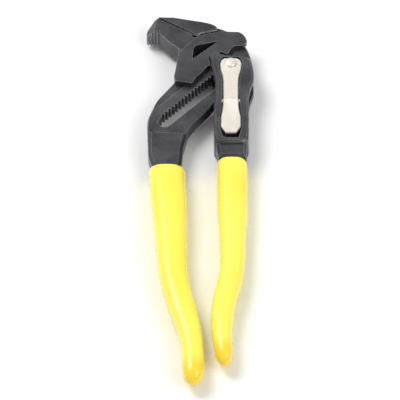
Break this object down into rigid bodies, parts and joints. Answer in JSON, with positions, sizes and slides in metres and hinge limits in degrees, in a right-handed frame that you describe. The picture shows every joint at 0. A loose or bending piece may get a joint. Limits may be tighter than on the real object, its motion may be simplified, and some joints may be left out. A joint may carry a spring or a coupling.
{
  "type": "pliers wrench",
  "caption": "Adjustable pliers wrench with smooth parallel jaws, a toothed slot in one arm, a forked box head on the other, a rocker release lever and dipped grips.",
  "frame": {"origin": "centre of the bounding box, on the plane of the rear faces that the tool lies on", "axes": "+Z out of the front face, +Y from the handles to the jaws, +X from the slotted arm to the box arm"},
  "size_m": [0.057, 0.248, 0.0185],
  "materials": {
    "phosphated_steel": "dark grey phosphated forged steel with worn bright edges",
    "plated_steel": "warm nickel plate, satin",
    "dipped_vinyl": "glossy yellow dipped vinyl"
  },
  "bodies": {
    "slotted_half": {"slotted_arm": "phosphated_steel", "left_grip": "dipped_vinyl"},
    "carriage": {"pivot_bush": "phosphated_steel"},
    "reach": {"rear_washer": "phosphated_steel"},
    "box_half": {"box_arm": "phosphated_steel", "right_grip": "dipped_vinyl", "lever_pin": "plated_steel", "lever_spring": "plated_steel"},
    "jaw": {"sliding_jaw": "phosphated_steel"},
    "lever": {"rocker_lever": "plated_steel"},
    "bolt": {"joint_bolt": "plated_steel", "retaining_ring": "phosphated_steel"}
  },
  "joints": [
    {"name": "adjust_slide", "type": "slide", "parent": "slotted_half", "child": "carriage", "axis": [0.6896, 0.7242, 0], "range_m": [-0.01518, 0]},
    {"name": "handle_reach", "type": "hinge", "parent": "slotted_half", "child": "reach", "pos_m": [0.25003, -0.14305, 0.0084], "axis": [0, 0, 1], "range_deg": [0, 2.65]},
    {"name": "handle_pivot", "type": "hinge", "parent": "reach", "child": "box_half", "pos_m": [0.01633, 0.08998, 0.0084], "axis": [0, 0, 1], "range_deg": [0, 16]},
    {"name": "jaw_follow", "type": "slide", "parent": "carriage", "child": "jaw", "axis": [0.6896, 0.7242, 0], "range_m": [-0.0029, 0]},
    {"name": "lever_rock", "type": "hinge", "parent": "box_half", "child": "lever", "pos_m": [0.01633, 0.06498, 0.0148], "axis": [1, 0, 0], "range_deg": [0, 4.58], "stiffness_Nm_per_rad": 0.05, "springref_deg": -3.44, "deforming": ["lever_spring"]},
    {"name": "bolt_lift", "type": "slide", "parent": "carriage", "child": "bolt", "axis": [0, 0, 1], "range_m": [0, 0.00202]}
  ],
  "couplings": [
    {"joint": "handle_reach", "follows": "adjust_slide", "rad_per_m": -3.0303},
    {"joint": "jaw_follow", "follows": "handle_pivot", "m_per_rad": -0.0103},
    {"joint": "bolt_lift", "follows": "lever_rock", "m_per_rad": 0.025}
  ]
}
